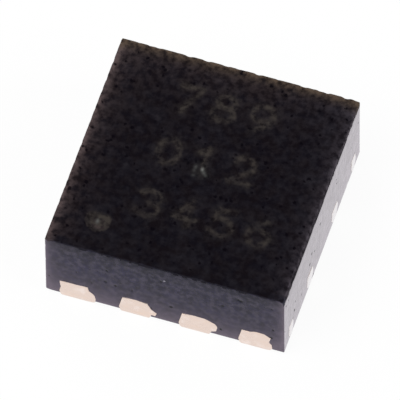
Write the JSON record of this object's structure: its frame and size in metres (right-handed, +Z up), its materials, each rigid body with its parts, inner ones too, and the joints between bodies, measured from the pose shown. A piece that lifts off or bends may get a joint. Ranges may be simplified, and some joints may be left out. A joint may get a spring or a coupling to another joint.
{
  "type": "buck converter chip",
  "caption": "Square moulded power chip with no legs: copper leads and a thermal pad flush in its underside, with chip and bond wires inside.",
  "frame": {"origin": "centre of the seating plane, on the open face of the thermal pad", "axes": "+X along the rows of leads, +Y from the row nearest the pin 1 dot to the other row, +Z up through the marked face"},
  "size_m": [0.002, 0.002, 0.0008],
  "materials": {
    "mould_compound": "matt black epoxy moulding with fine glassy filler, sawn on its four sides",
    "lead_copper": "copper alloy, bare where it is sawn",
    "paddle_copper": "copper alloy, plated on its open face",
    "attach_adhesive": "silver-filled epoxy adhesive",
    "silicon": "polished silicon",
    "wire_gold": "fine gold wire"
  },
  "bodies": {
    "root": {"mould_body": "mould_compound", "lead_1": "lead_copper", "lead_2": "lead_copper", "lead_3": "lead_copper", "lead_4": "lead_copper", "lead_5": "lead_copper", "lead_6": "lead_copper", "lead_7": "lead_copper", "lead_8": "lead_copper", "die_paddle": "paddle_copper", "die_attach": "attach_adhesive", "silicon_die": "silicon", "wire_1": "wire_gold", "wire_2": "wire_gold", "wire_3": "wire_gold", "wire_4": "wire_gold", "wire_5": "wire_gold", "wire_6": "wire_gold", "wire_7": "wire_gold", "wire_8": "wire_gold", "wire_9": "wire_gold", "wire_10": "wire_gold", "wire_11": "wire_gold", "wire_12": "wire_gold"}
  },
  "joints": []
}
